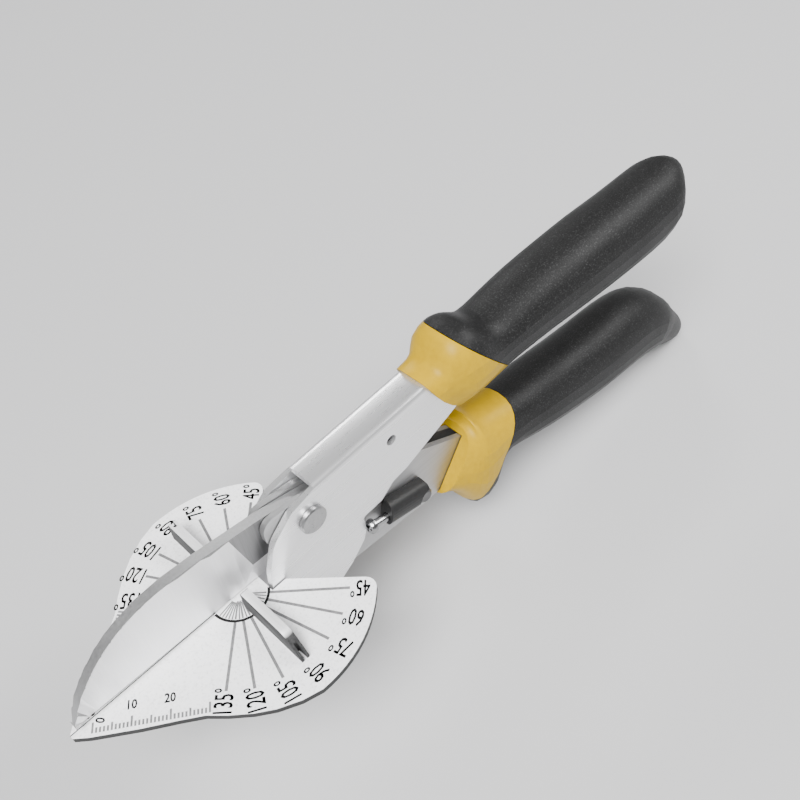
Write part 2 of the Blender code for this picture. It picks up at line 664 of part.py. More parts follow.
def make_plate(a, mats):
    plate = flat_solid("protractor_plate", rounded(plate_outline(), 4), -PLATE_THICKNESS, 0.0, a.parts, False)
    half = GROOVE_WIDTH / 2
    groove = [(-PLATE_TIP - OVERRUN, -half), (-GROOVE_END, -half), (-GROOVE_END, half),
              (-PLATE_TIP - OVERRUN, half)]
    boolean(plate, flat_solid("blade_groove", groove, -GROOVE_DEPTH, OVERRUN, a.cutters, False))
    for side in (-1, 1):
        for share in FENCE_SCREW_SHARES:
            at = (FENCE_OFFSET, side * share * FENCE_END)
            boolean(plate, rod("fence_screw_hole", FENCE_SCREW_RADIUS + GAP,
                               (*at, -PLATE_THICKNESS - OVERRUN), (*at, OVERRUN), a.cutters, SMALL_SIDES))
        for share in PLATE_RIVET_SHARES:
            at = (share * FLANGE_FRONT, side * (OUTER_HALF + FLANGE_WIDTH / 2))
            blind = -PLATE_THICKNESS / 4
            boolean(plate, rod("plate_rivet_hole", PLATE_RIVET_RADIUS + GAP,
                               (*at, -PLATE_THICKNESS - OVERRUN), (*at, blind), a.cutters, SMALL_SIDES))
    a.hang(plate, a.root, mats["plate"])


def make_fences(a, mats):
    left = FENCE_OFFSET - FENCE_WIDTH / 2
    for name, side, top_end, nose_radius in (
            ("near_fence", -1, FENCE_TOP_END, FENCE_NOSE_RADIUS),
            ("far_fence", 1, FAR_FENCE_TOP_END, FAR_FENCE_NOSE_RADIUS)):
        corners = [(FENCE_START, GAP, 0.0), (FENCE_START, FENCE_HEIGHT, FENCE_INNER_RADIUS),
                   (top_end, FENCE_HEIGHT, nose_radius), (FENCE_END, FENCE_TOE, FENCE_TOE / 2),
                   (FENCE_END, GAP, 0.0)]
        fence = flat_solid(name, rounded(corners), 0.0, FENCE_WIDTH, a.parts, True)
        turn = Matrix.Rotation(math.radians(90), 4, "Z")
        fence.data.transform(Matrix.Translation((left + FENCE_WIDTH, 0.0, 0.0)) @ turn)
        if side < 0:
            fence.data.transform(Matrix.Scale(-1, 4, (0.0, 1.0, 0.0)))
            fence.data.flip_normals()
        soften_edges(fence, EDGE_SOFTNESS, 2, lambda p, q: min(p.z, q.z) > FENCE_TOE
                     and abs(p.x - q.x) < MM / 100)
        half = FENCE_SLOT_WIDTH / 2
        inner, outer = side * FENCE_SLOT_START, side * (FENCE_END + OVERRUN)
        slot = [(FENCE_OFFSET - half, inner), (FENCE_OFFSET + half, inner),
                (FENCE_OFFSET + half, outer), (FENCE_OFFSET - half, outer)]
        boolean(fence, flat_solid(name + "_slot", slot, -OVERRUN, FENCE_HEIGHT + OVERRUN, a.cutters, False))
        for share in FENCE_SCREW_SHARES:
            at = (FENCE_OFFSET, side * share * FENCE_END)
            boolean(fence, rod(name + "_bore", FENCE_SCREW_RADIUS + GAP / 2, (*at, -OVERRUN),
                               (*at, FENCE_SCREW_REACH + GAP), a.cutters, SMALL_SIDES))
        a.hang(fence, a.root, mats["fence"])


def make_plate_fasteners(a, mats):
    base = -PLATE_THICKNESS / 4 - GAP
    seat = -PLATE_THICKNESS - 2 * GAP - FLANGE_THICKNESS - base
    wide, low = PLATE_RIVET_HEAD_RADIUS, seat - PLATE_RIVET_HEAD
    rivet = ((0.0, 0.0), (PLATE_RIVET_RADIUS, 0.0), (PLATE_RIVET_RADIUS, seat), (wide, seat),
             (wide * 0.7, low), (0.0, low))
    top = FENCE_SCREW_REACH
    seat = -PLATE_THICKNESS - GAP - top
    wide, low = FENCE_SCREW_HEAD_RADIUS, seat - FENCE_SCREW_HEAD
    screw = ((0.0, 0.0), (FENCE_SCREW_RADIUS, 0.0), (FENCE_SCREW_RADIUS, seat), (wide, seat),
             (wide * 0.8, low), (0.0, low))
    for word, side in (("near", -1), ("far", 1)):
        for end, share in zip(("front", "rear"), PLATE_RIVET_SHARES):
            at = (share * FLANGE_FRONT, side * (OUTER_HALF + FLANGE_WIDTH / 2), base)
            piece = turned("plate_rivet_" + word + "_" + end, rivet, at, (0, 0, 1), a.parts, SMALL_SIDES)
            smooth_round(piece)
            a.hang(piece, a.root, mats["steel_dark"])
        for end, share in zip(("inner", "outer"), FENCE_SCREW_SHARES):
            at = (FENCE_OFFSET, side * share * FENCE_END, top)
            piece = turned("fence_screw_" + word + "_" + end, screw, at, (0, 0, 1), a.parts, SMALL_SIDES)
            smooth_round(piece)
            a.hang(piece, a.root, mats["steel_dark"])


def make_upper_channel(a, mats):
    channel = flat_solid("upper_channel", upper_channel_outline(), -OUTER_HALF, OUTER_HALF, a.parts, True)
    boolean(channel, spine_cutter("spine_arch", 0.0, a.cutters))
    inner = OUTER_HALF - OUTER_SHEET
    end = TANG_END + OVERRUN
    low = -JAW_DEPTH - OVERRUN
    high = WEB_FRONT_Z + 2 * OVERRUN
    hollow = [(-JAW_FRONT - OVERRUN, low), (end, low), (end, TANG_TOP_Z - OUTER_SHEET),
              (WEB_MID_X, WEB_MID_Z - OUTER_SHEET), (WEB_FRONT, WEB_FRONT_Z - OUTER_SHEET),
              (WEB_FRONT, high), (-JAW_FRONT - OVERRUN, high)]
    boolean(channel, flat_solid("upper_hollow", hollow, -inner, inner, a.cutters, True))
    for side in (-1, 1):
        root = side * (OUTER_HALF - OUTER_SHEET / 2)
        tip = side * (OUTER_HALF + FLANGE_WIDTH)
        corners = [(FLANGE_FRONT, root, 0.0), (FLANGE_BACK, root, 0.0), (FLANGE_BACK, tip, FLANGE_RADIUS),
                   (FLANGE_FRONT, tip, FLANGE_RADIUS)]
        high = -PLATE_THICKNESS - GAP - EDGE_SOFTNESS / 5
        flange = flat_solid("flange", rounded(corners), high - FLANGE_THICKNESS, high, a.cutters, False)
        boolean(channel, flange, "UNION")
    boolean(channel, rod("pivot_hole", PIVOT_RADIUS + GAP, (PIVOT_X, -OUTER_HALF - OVERRUN, PIVOT_Z),
                         (PIVOT_X, OUTER_HALF + OVERRUN, PIVOT_Z), a.cutters))
    boolean(channel, rod("small_hole", SMALL_HOLE_RADIUS, (SMALL_HOLE_X, -OUTER_HALF - OVERRUN, SMALL_HOLE_Z),
                         (SMALL_HOLE_X, OUTER_HALF + OVERRUN, SMALL_HOLE_Z), a.cutters, SMALL_SIDES))
    for side in (-1, 1):
        for share in PLATE_RIVET_SHARES:
            place, y = share * FLANGE_FRONT, side * (OUTER_HALF + FLANGE_WIDTH / 2)
            boolean(channel, rod("flange_hole", PLATE_RIVET_RADIUS + GAP,
                                 (place, y, -PLATE_THICKNESS - FLANGE_THICKNESS - OVERRUN),
                                 (place, y, -PLATE_THICKNESS + OVERRUN), a.cutters, SMALL_SIDES))
    a.hang(channel, a.root, mats["steel_bright"])


def make_lower_channel(a, mats):
    channel = flat_solid("lower_channel", lower_channel_outline(), -INNER_HALF, INNER_HALF, a.parts, True)
    inner = INNER_HALF - INNER_SHEET
    high, low = NOSE_TOP_Z + OVERRUN, -JAW_DEPTH - OVERRUN
    end = INNER_TANG_END_X + OVERRUN
    hollow = [(NOSE_X - OVERRUN, high), (NOSE_X - OVERRUN, low), (INNER_WEB_FRONT, low)] + inner_floor()
    hollow += [(end, INNER_TANG_END_Z - INNER_TANG_DEPTH + INNER_SHEET), (end, high)]
    boolean(channel, flat_solid("lower_hollow", hollow, -inner, inner, a.cutters, True))
    for name, x, z, radius in (("pivot_bore", PIVOT_X, PIVOT_Z, PIVOT_RADIUS),
                               ("blade_rivet_bore", BLADE_RIVET_X, BLADE_RIVET_Z, BLADE_RIVET_RADIUS)):
        boolean(channel, rod(name, radius + GAP, (x, -INNER_HALF - OVERRUN, z), (x, INNER_HALF + OVERRUN, z),
                             a.cutters))
    boolean(channel, rod("lock_bore", LOCK_RIVET_RADIUS + GAP,
                         (LOCK_PIVOT_X, -INNER_HALF - OVERRUN, LOCK_PIVOT_Z),
                         (LOCK_PIVOT_X, 0.0, LOCK_PIVOT_Z), a.cutters, SMALL_SIDES))
    a.hang(channel, a.lower, mats["steel_grey"])


def make_blade(a, mats):
    back = back_points()
    corners = [(-BLADE_REACH, edge_height(-BLADE_REACH), 0.0)] + [(x, z, 0.0) for x, z in back]
    corners += scaled(BLADE_TANG_SHARES, BLADE_TANG_REACH, BLADE_TANG_TOP)
    corners.append((BLADE_HEEL, edge_height(BLADE_HEEL), 0.0))
    half = BLADE_THICKNESS / 2
    blade = flat_solid("blade", rounded(corners), -half, half, a.parts, True)
    for side in (-1, 1):
        boolean(blade, grind_cutter(side, a.cutters))
    for name, x, z, radius in (("blade_pivot_bore", PIVOT_X, PIVOT_Z, PIVOT_RADIUS),
                               ("tang_rivet_bore", BLADE_RIVET_X, BLADE_RIVET_Z, BLADE_RIVET_RADIUS)):
        boolean(blade, rod(name, radius + GAP, (x, -half - OVERRUN, z), (x, half + OVERRUN, z), a.cutters))
    a.hang(blade, a.lower, mats["steel_blade"])


def make_rivets(a, mats):
    half = OUTER_HALF + GAP / 2
    head = RIVET_HEAD_RADIUS
    soft = RIVET_HEAD_SOFTNESS
    high = half + RIVET_HEAD
    profile = ((0.0, high), (head - soft, high), (head, high - soft), (head, half), (PIVOT_RADIUS, half),
               (PIVOT_RADIUS, -half), (head, -half), (head, soft - high), (head - soft, -high), (0.0, -high))
    rivet = turned("main_rivet", profile, (PIVOT_X, 0.0, PIVOT_Z), (0, 1, 0), a.parts)
    smooth_round(rivet)
    a.hang(rivet, a.root, mats["steel_grey"])

    fixing = rod("blade_rivet", BLADE_RIVET_RADIUS, (BLADE_RIVET_X, -INNER_HALF, BLADE_RIVET_Z),
                 (BLADE_RIVET_X, INNER_HALF, BLADE_RIVET_Z), a.parts, SMALL_SIDES)
    smooth_round(fixing)
    a.hang(fixing, a.lower, mats["steel_dark"])

    outer = -(LOCK_Y + LOCK_DEPTH / 2) + LOCK_FLOOR + GAP
    inner = INNER_HALF - INNER_SHEET - GAP
    wide, thin = LOCK_RIVET_HEAD_RADIUS, LOCK_RIVET_RADIUS
    top, foot = outer + LOCK_RIVET_HEAD, inner - BEND_RADIUS / 2
    profile = ((0.0, top), (wide * 0.75, top), (wide, (outer + top) / 2), (wide, outer), (thin, outer),
               (thin, inner), (wide * 0.8, inner), (wide * 0.8, foot), (0.0, foot))
    lock_rivet = turned("lock_rivet", profile, (LOCK_PIVOT_X, 0.0, LOCK_PIVOT_Z), (0, -1, 0), a.parts,
                        SMALL_SIDES)
    smooth_round(lock_rivet)
    a.hang(lock_rivet, a.lower, mats["steel_bright"])


def make_lock(a, mats):
    along, up = lock_axes()
    pivot = Vector((LOCK_PIVOT_X, LOCK_PIVOT_Z))
    tip = Vector((LOCK_TIP_X, LOCK_TIP_Z))
    front = tip - along * LOCK_FRONT
    rear = pivot - along * LOCK_REAR
    half, lift = (LOCK_UPPER + LOCK_LOWER) / 2, up * (LOCK_UPPER - LOCK_LOWER) / 2
    near, far = LOCK_Y - LOCK_DEPTH / 2, LOCK_Y + LOCK_DEPTH / 2
    section = [(u, LOCK_SIDE + v) for u, v in arch(half, LOCK_DEPTH - LOCK_SIDE, LOCK_SQUARENESS)]
    section += [(-half, 0.0), (half, 0.0)]
    rings = []
    for middle in (front + along * OVERRUN + lift, rear - along * OVERRUN + lift):
        rings.append([Vector((middle.x + up.x * u, far - v, middle.y + up.y * u)) for u, v in section])
    lever = lofted("lock_lever", rings, a.parts)
    wide = up * (half + MM)
    corners = [(*(front + lift + wide), LOCK_END_RADIUS), (*(rear + lift + wide), LOCK_END_RADIUS),
               (*(rear + lift - wide), LOCK_END_RADIUS), (*(front + lift - wide), LOCK_END_RADIUS)]
    boolean(lever, flat_solid("lock_ends", rounded(corners), near - OVERRUN, far + OVERRUN, a.cutters, True),
            "INTERSECT")
    floor = far - LOCK_FLOOR
    boolean(lever, rod("lock_recess", LOCK_RECESS_RADIUS, (pivot.x, near - OVERRUN, pivot.y),
                       (pivot.x, floor, pivot.y), a.cutters))
    wide = LOCK_RECESS_RADIUS
    low = pivot - up * (LOCK_LOWER + OVERRUN)
    step = [pivot + up * (wide * 0.2), pivot - along * (LOCK_REAR + OVERRUN) + up * (wide * 0.2),
            low - along * (LOCK_REAR + OVERRUN), low + along * (wide * 0.6)]
    boolean(lever, flat_solid("lock_step", [(p.x, p.y) for p in step], near - OVERRUN, floor, a.cutters,
                              True))
    boolean(lever, rod("lock_bore_lever", LOCK_RIVET_RADIUS + GAP, (pivot.x, near - OVERRUN, pivot.y),
                       (pivot.x, far + OVERRUN, pivot.y), a.cutters, SMALL_SIDES))
    end = tip - along * (LOCK_SCREW_LENGTH + GAP)
    start = front + along * OVERRUN
    boolean(lever, rod("lock_thread_bore", LOCK_SCREW_RADIUS + GAP / 2, (start.x, LOCK_Y, start.y),
                       (end.x, LOCK_Y, end.y), a.cutters, SMALL_SIDES))
    smooth_round(lever)
    a.hang(lever, a.lock, mats["lock_black"])

    wide, thin = LOCK_SCREW_HEAD_RADIUS, LOCK_SCREW_RADIUS
    under, end = -LOCK_SCREW_HEAD, -LOCK_SCREW_LENGTH
    profile = ((0.0, 0.0), (wide * 0.72, 0.0), (wide * 0.95, under * 0.35), (wide, under * 0.7),
               (wide, under), (thin, under), (thin, end), (0.0, end))
    screw = turned("lock_screw", profile, (tip.x, LOCK_Y, tip.y), (along.x, 0.0, along.y), a.parts,
                   SMALL_SIDES)
    cross = Vector((along.x, 0.0, along.y))
    side = Vector((0.0, 1.0, 0.0))
    place = Vector((tip.x, LOCK_Y, tip.y))
    for name, arm in (("cross_one", side), ("cross_two", cross.cross(side))):
        other = cross.cross(arm)
        form = bmesh.new()
        bmesh.ops.create_cube(form, size=1.0)
        frame = Matrix((arm, other, cross)).transposed().to_4x4()
        scale = Matrix.Diagonal((LOCK_CROSS_LENGTH, LOCK_CROSS_WIDTH, 2 * LOCK_CROSS_DEPTH, 1.0))
        form.transform(Matrix.Translation(place) @ frame @ scale)
        mesh = bpy.data.meshes.new(name)
        form.to_mesh(mesh)
        form.free()
        boolean(screw, new_object(name, mesh, a.cutters))
    smooth_round(screw)
    a.hang(screw, a.lock, mats["steel_bright"])


def make_spring(a, mats):
    pin_end = OUTER_HALF - SPRING_PIN_RECESS
    pin = rod("spring_pin", SMALL_HOLE_RADIUS - GAP, (SMALL_HOLE_X, -pin_end, SMALL_HOLE_Z),
              (SMALL_HOLE_X, pin_end, SMALL_HOLE_Z), a.parts, SMALL_SIDES)
    smooth_round(pin)
    a.hang(pin, a.root, mats["steel_dark"])

    count = COIL_TURNS * COIL_POINTS_PER_TURN + COIL_POINTS_PER_TURN // 4 + 1
    points = []
    width = COIL_PITCH * (count - 1) / COIL_POINTS_PER_TURN
    for k in range(count):
        turn = k / COIL_POINTS_PER_TURN
        angle = math.radians(90) - 2 * math.pi * turn
        points.append(Vector((SMALL_HOLE_X + COIL_RADIUS * math.cos(angle), width / 2 - COIL_PITCH * turn,
                              SMALL_HOLE_Z + COIL_RADIUS * math.sin(angle))))
    gaps = [(p - q).length for i, p in enumerate(points) for q in points[i + COIL_POINTS_PER_TURN - 1:]]
    print("coil's least gap to itself, mm:", round((min(gaps) - 2 * WIRE_RADIUS) / MM, 3))
    slope = (WEB_MID_Z - WEB_FRONT_Z) / (WEB_MID_X - WEB_FRONT)
    first = points[0] + Vector((-UPPER_LEG, 0.0, -UPPER_LEG * slope))
    last = points[-1] + Vector((0.0, 0.0, -LOWER_LEG))
    points = [first] + points + [last]
    curve = bpy.data.curves.new("return_spring", "CURVE")
    curve.dimensions = "3D"
    curve.bevel_depth = WIRE_RADIUS
    curve.bevel_resolution = 1
    curve.use_fill_caps = True
    spline = curve.splines.new("POLY")
    spline.points.add(len(points) - 1)
    for point, place in zip(spline.points, points):
        point.co = (*place, 1.0)
    wire = new_object("spring_wire", curve, a.parts)
    spring = new_object("return_spring", welded_mesh(wire, "return_spring"), a.parts)
    smooth_round(spring)
    a.hang(spring, a.root, mats["steel_dark"])


def make_grips(a, mats):
    upper_front = front_line(UPPER_FRONT_X, UPPER_FRONT_Z, UPPER_FRONT_RUN, UPPER_FRONT_FALL,
                             UPPER_FRONT_SHARES)
    lower_front = front_line(LOWER_FRONT_X, LOWER_FRONT_Z, LOWER_FRONT_RUN, LOWER_FRONT_FALL,
                             LOWER_FRONT_SHARES)
    upper_seam = seam_line(UPPER_FRONT_X + UPPER_SEAM_RUN, UPPER_FRONT_Z, UPPER_FRONT_FALL, UPPER_SEAM_LEAN)
    lower_seam = seam_line(LOWER_FRONT_X + LOWER_SEAM_RUN, LOWER_FRONT_Z, LOWER_FRONT_FALL, LOWER_SEAM_LEAN)
    upper = grip_stations(UPPER_GRIP_SHARES, UPPER_GRIP_START, UPPER_GRIP_LENGTH, UPPER_COLLAR_LENGTH,
                          UPPER_GRIP_Z)
    lower = grip_stations(LOWER_GRIP_SHARES, LOWER_GRIP_START, LOWER_GRIP_LENGTH, LOWER_COLLAR_LENGTH,
                          LOWER_GRIP_Z)
    for word, stations, front, seam, pocket, frame in (
            ("upper", upper, upper_front, upper_seam, upper_pocket, a.root),
            ("lower", lower, lower_front, lower_seam, lower_pocket, a.lower)):
        for piece, mat in (("collar", "yellow"), ("grip", "black")):
            name = word + "_" + piece
            body = lofted(name, grip_rings(stations), a.parts)
            if piece == "collar":
                boolean(body, seam_block(name + "_front", front, 0.0, True, a.cutters))
                boolean(body, seam_block(name + "_back", seam, -GAP / 2, False, a.cutters))
            else:
                boolean(body, seam_block(name + "_back", seam, GAP / 2, True, a.cutters))
            boolean(body, pocket(name + "_pocket", a.cutters))
            smooth_round(body)
            a.hang(body, frame, mats[mat])


def upper_pocket(name, group):
    """The pocket that the upper channel's tang fills, a gap wider all round."""
    rear, before = scaled(REAR_UPPER_SHARES, REAR_UPPER_X, REAR_UPPER_Z)[:-3:-1]
    corners = [(WEB_FRONT, WEB_FRONT_Z + OVERRUN, 0.0), (WEB_MID_X, WEB_MID_Z + OVERRUN, 0.0),
               (TANG_END + GAP, TANG_TOP_Z + OVERRUN, 0.0), (TANG_END + GAP, TANG_BOTTOM_Z - GAP, 0.0),
               (rear[0], rear[1] - GAP, rear[2]), (before[0], before[1] - GAP, 0.0),
               (WEB_FRONT, before[1] - GAP, 0.0)]
    half = OUTER_HALF + GAP
    pocket = flat_solid(name, rounded(corners), -half, half, group, True)
    boolean(pocket, spine_cutter(name + "_arch", GAP, group))
    return pocket


def lower_pocket(name, group):
    """The pocket that the lower channel's tang fills, a gap wider all round."""
    end = INNER_TANG_END_X + GAP
    outline = [(INNER_SLOPE_X, INNER_SLOPE_Z + GAP), (INNER_NECK_X, INNER_NECK_TOP_Z + GAP),
               (end, INNER_TANG_END_Z + GAP), (end, INNER_TANG_END_Z - INNER_TANG_DEPTH - GAP),
               (INNER_NECK_X, INNER_NECK_BOTTOM_Z - GAP)]
    web = [(x, z - GAP) for x, z, radius in scaled(INNER_BOTTOM_SHARES, INNER_WEB_X, INNER_WEB_Z)[:2]]
    outline += web + [(web[-1][0], INNER_SLOPE_Z + INNER_SHOULDER_Z / 2)]
    half = INNER_HALF + GAP
    return flat_solid(name, outline, -half, half, group, True)


def bounds(objects):
    """Lowest and highest corners of the pieces as they are seen."""
    bpy.context.view_layer.update()
    depsgraph = bpy.context.evaluated_depsgraph_get()
    low, high = Vector((math.inf,) * 3), Vector((-math.inf,) * 3)
    for obj in objects:
        seen = obj.evaluated_get(depsgraph)
        mesh = seen.to_mesh()
        for vertex in mesh.vertices:
            place = seen.matrix_world @ vertex.co
            low = Vector(map(min, low, place))
            high = Vector(map(max, high, place))
        seen.to_mesh_clear()
    return low, high


def main():
    clear_scene()
    mats = {
        "plate": material("white_coated_steel", (0.90, 0.90, 0.90), 0.45, 0.0),
        "fence": material("fence_steel", (0.75, 0.75, 0.76), 0.35, 0.9),
        "steel_bright": material("satin_steel", (0.80, 0.80, 0.81), 0.28, 1.0),
        "steel_grey": material("grey_steel", (0.55, 0.55, 0.56), 0.38, 1.0),
        "steel_dark": material("dark_steel", (0.30, 0.30, 0.31), 0.45, 1.0),
        "steel_blade": material("blade_steel", (0.72, 0.72, 0.73), 0.25, 1.0),
        "lock_black": material("black_plastic", (0.07, 0.07, 0.07), 0.55, 0.0),
        "yellow": material("yellow_rubber", (0.95, 0.72, 0.05), 0.45, 0.0),
        "black": material("black_rubber", (0.025, 0.025, 0.028), 0.75, 0.0),
    }
    a = Assembly()
    make_plate(a, mats)
    make_fences(a, mats)
    make_plate_fasteners(a, mats)
    make_upper_channel(a, mats)
    make_lower_channel(a, mats)
    make_blade(a, mats)
    make_rivets(a, mats)
    make_lock(a, mats)
    make_spring(a, mats)
    make_grips(a, mats)
    low, high = bounds([obj for obj in a.parts.objects if obj.type == "MESH"])
    a.root.location = (-(low.x + high.x) / 2, -(low.y + high.y) / 2, -low.z)
    print("plate centre in the part's frame, mm:", [round(v / MM, 4) for v in a.root.location])
    print("size, mm:", [round(v / MM, 2) for v in high - low])


main()
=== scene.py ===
"""Looks for the mitre shears: materials, the plate's printed scales, light and camera."""

import json
import math

import bmesh
import bpy
from mathutils import Matrix, Vector


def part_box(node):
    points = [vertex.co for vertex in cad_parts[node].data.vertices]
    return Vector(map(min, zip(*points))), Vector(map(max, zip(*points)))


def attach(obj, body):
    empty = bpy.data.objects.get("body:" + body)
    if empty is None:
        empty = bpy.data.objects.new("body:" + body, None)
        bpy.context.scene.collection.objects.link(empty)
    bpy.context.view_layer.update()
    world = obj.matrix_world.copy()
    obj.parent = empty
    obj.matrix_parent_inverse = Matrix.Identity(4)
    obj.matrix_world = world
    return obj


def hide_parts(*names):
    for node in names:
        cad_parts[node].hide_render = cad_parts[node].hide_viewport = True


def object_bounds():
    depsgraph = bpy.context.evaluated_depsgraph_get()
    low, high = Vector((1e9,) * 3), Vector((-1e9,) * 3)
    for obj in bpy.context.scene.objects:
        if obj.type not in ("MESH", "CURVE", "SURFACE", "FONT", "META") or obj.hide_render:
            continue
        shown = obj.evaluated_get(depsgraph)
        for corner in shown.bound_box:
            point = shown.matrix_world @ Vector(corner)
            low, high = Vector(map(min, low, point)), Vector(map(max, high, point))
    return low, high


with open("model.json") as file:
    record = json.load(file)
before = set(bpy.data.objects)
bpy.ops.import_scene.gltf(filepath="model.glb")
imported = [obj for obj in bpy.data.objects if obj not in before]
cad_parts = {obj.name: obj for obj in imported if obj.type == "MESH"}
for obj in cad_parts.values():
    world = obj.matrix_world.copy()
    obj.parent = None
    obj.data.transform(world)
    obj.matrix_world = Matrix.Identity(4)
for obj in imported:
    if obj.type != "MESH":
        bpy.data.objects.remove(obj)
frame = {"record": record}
cad_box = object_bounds()

MM = 0.001

# The plate's angle centre on its top face, the origin of every place given in millimetres
PLATE_TIP = 53.4
plate_low, plate_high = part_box("protractor_plate")
ORIGIN = Vector((plate_low[0] + PLATE_TIP * MM, (plate_low[1] + plate_high[1]) / 2, plate_high[2]))

# Camera: its turn, about this vector by the vector's length in radians, and its shift in millimetres
FOCAL_PIXELS = 940.07
IMAGE_PIXELS = 800
SENSOR = 36.0
CLIP_START = 0.01
CAMERA_TURN = Vector((2.2126, -0.97, 0.2305))
CAMERA_SHIFT = Vector((-43.4829, 52.35, 253.7733))

# Light: area lights by name with their place and size in metres and their power in watts
AREA_LIGHTS = {
    "key": ((-0.42, -0.30, 0.80), (0.40, 0.40), 11.0),
    "strip": ((0.30, 0.68, 0.58), (0.36, 0.13), 2.4),
    "side": ((0.66, -0.34, 0.74), (0.50, 0.30), 8.0),
}
LIGHT_TARGET = Vector((0.0, 0.0, 0.05))
SUN_WAY = Vector((0.42, 0.30, -0.80))
SUN_STRENGTH = 3.4
SUN_WIDTH = math.radians(40)
SKY_TONES = ((0.02, 0.50), (0.45, 0.13))

# Floor
FLOOR_HALF = 12.0
FLOOR_DROP = 0.0002
FLOOR_COLOUR = (0.50, 0.50, 0.505, 1.0)
FLOOR_ROUGHNESS = 0.85

# Noise lies mostly between these two values, and fine reliefs are this deep in metres
NOISE_LOW = 0.3
NOISE_HIGH = 0.7
FINE_DEPTH = 0.00003
GREY_BLUE = 1.01


def grey(value):
    return (value, value, value * GREY_BLUE)


# Steels: tones, roughness, lines per metre on each axis, their turn about Y, relief and metallic share
STEELS = {
    "satin_channel": ((0.86, 0.90), (0.27, 0.29), (12.0, 2200.0, 2200.0), 0, 0.03, 0.8),
    "inner_channel": ((0.42, 0.50), (0.46, 0.54), (30.0, 1500.0, 1500.0), -12, 0.06, 1.0),
    "rivet_steel": ((0.34, 0.44), (0.26, 0.36), (900.0, 900.0, 900.0), 0, 0.06, 1.0),
    "lock_rivet_steel": ((0.11, 0.16), (0.30, 0.36), (300.0, 300.0, 300.0), 0, 0.02, 1.0),
    "dark_steel": ((0.10, 0.18), (0.35, 0.50), (900.0, 900.0, 900.0), 0, 0.06, 1.0),
    # The pin's near-black tones are painted shade of the hole it sits in
    "pin_shade_black": ((0.004, 0.008), (0.60, 0.70), (900.0, 900.0, 900.0), 0, 0.06, 1.0),
    "plated_screw": ((0.30, 0.38), (0.20, 0.24), (300.0, 300.0, 300.0), 0, 0.02, 1.0),
}
STEEL_DETAIL = 4.0
STEEL_NOISE_ROUGHNESS = 0.6

# Blade
BLADE_GRAIN = (1400.0, 1400.0, 30.0)
BLADE_GRAIN_TURN = 10
BLADE_GROUND = (0.84, 0.89)
# The unground flat's and the back's darker tones are painted reflection
BLADE_FLAT_REFLECTION = (0.20, 0.27)
BLADE_BACK_REFLECTION = (0.46, 0.54)
BLADE_ROUGHNESS = (0.44, 0.50)
BLADE_RELIEF = 0.05
GROUND_SLOPE = (0.02, 0.035)
SIDE_SLOPE = (0.5, 0.6)

# Fences
FENCE_GRAIN = (1500.0, 60.0, 1500.0)
FENCE_TOP = (0.86, 0.93)
# The sides' and ends' dark tones are painted shade; the top has the steel's own pale tone
FENCE_SIDE_SHADE = (0.03, 0.06)
FENCE_TOP_SLOPE = (0.80, 0.95)
FENCE_TOP_METAL = 0.5
FENCE_ROUGHNESS = (0.46, 0.54)
FENCE_RELIEF = 0.06
FENCE_GLOSS = 0.05

# Plate
SPECKLE_SCALE = 1500.0
SPECKLE_TONES = ((0.30, 0.78), (0.42, 0.92), (0.56, 0.97))
EDGE_SCALE = 70.0
# The cut edge's near-black tones are painted shade
EDGE_SHADE_TONES = ((0.35, 0.015), (0.65, 0.030))
PLATE_TOP_SLOPE = (0.6, 0.8)
PLATE_ROUGHNESS = (0.50, 0.60)
PLATE_RELIEF = 0.20
PLATE_GLOSS = 0.3

# Skins: colours at places of the grain's noise, roughness, grain scale, relief, its depth and gloss
SKINS = {
    "lever_finish": (((0.3, grey(0.006)), (0.7, grey(0.012))), (0.46, 0.54), 900.0, 0.10, 0.00003, 0.40),
    "collar_yellow": (((0.3, (0.44, 0.27, 0.0)), (0.7, (0.49, 0.305, 0.0))),
                      (0.34, 0.42), 500.0, 0.05, 0.00004, 0.15),
    "grip_black": (((0.40, grey(0.004)), (0.58, grey(0.010)), (0.74, grey(0.040))),
                   (0.48, 0.58), 2200.0, 0.55, 0.00008, 0.28),
}
SKIN_NOISE_ROUGHNESS = 0.6
CLOUD_SCALE = 45.0
FINE_DETAIL = 2.0
CLOUD_DETAIL = 3.0

# Inks
INK_TONES = {"black": 0.010, "grey": 0.16}
INK_SPREAD = (0.8, 1.25)
INK_SCALE = 900.0
INK_ROUGHNESS = 0.85
INK_GLOSS = 0.15

# The finish and the record's slot of each node that a smoothly shaded surface stands for
SURFACES = {
    "protractor_plate": ("plate_coating", "white_coated_steel"),
    "near_fence": ("fence_satin", "fence_steel"),
    "far_fence": ("fence_satin", "fence_steel"),
    "upper_channel": ("satin_channel", "satin_steel"),
    "lower_channel": ("inner_channel", "grey_steel"),
    "blade": ("ground_blade", "blade_steel"),
    "main_rivet": ("rivet_steel", "grey_steel"),
    "lock_rivet": ("lock_rivet_steel", "grey_steel"),
    "lock_screw": ("plated_screw", "satin_steel"),
    "lock_lever": ("lever_finish", "black_plastic"),
    "upper_collar": ("collar_yellow", "yellow_rubber"),
    "lower_collar": ("collar_yellow", "yellow_rubber"),
    "upper_grip": ("grip_black", "black_rubber"),
    "lower_grip": ("grip_black", "black_rubber"),
}

# The finishes of the nodes that show as they are
# The spring pin, at the bottom of its hole, is near black as painted shade
PLAIN = {"spring_pin": "pin_shade_black", "blade_rivet": "rivet_steel"}
OTHER_PLAIN = "dark_steel"

# Neighbouring faces that meet at less than these angles are shaded as one: round forms, and faces that
# both look sideways, along Y
ROUND_ANGLE = math.radians(38)
FLAT_ANGLE = math.radians(2.2)
SIDEWAYS = 0.9
WELD = 0.001

# The lock rivet's crown, the nearest part of its head, is so much higher than the solid's
RIVET_CROWN = 1.0
RIVET_RISE = 1.5

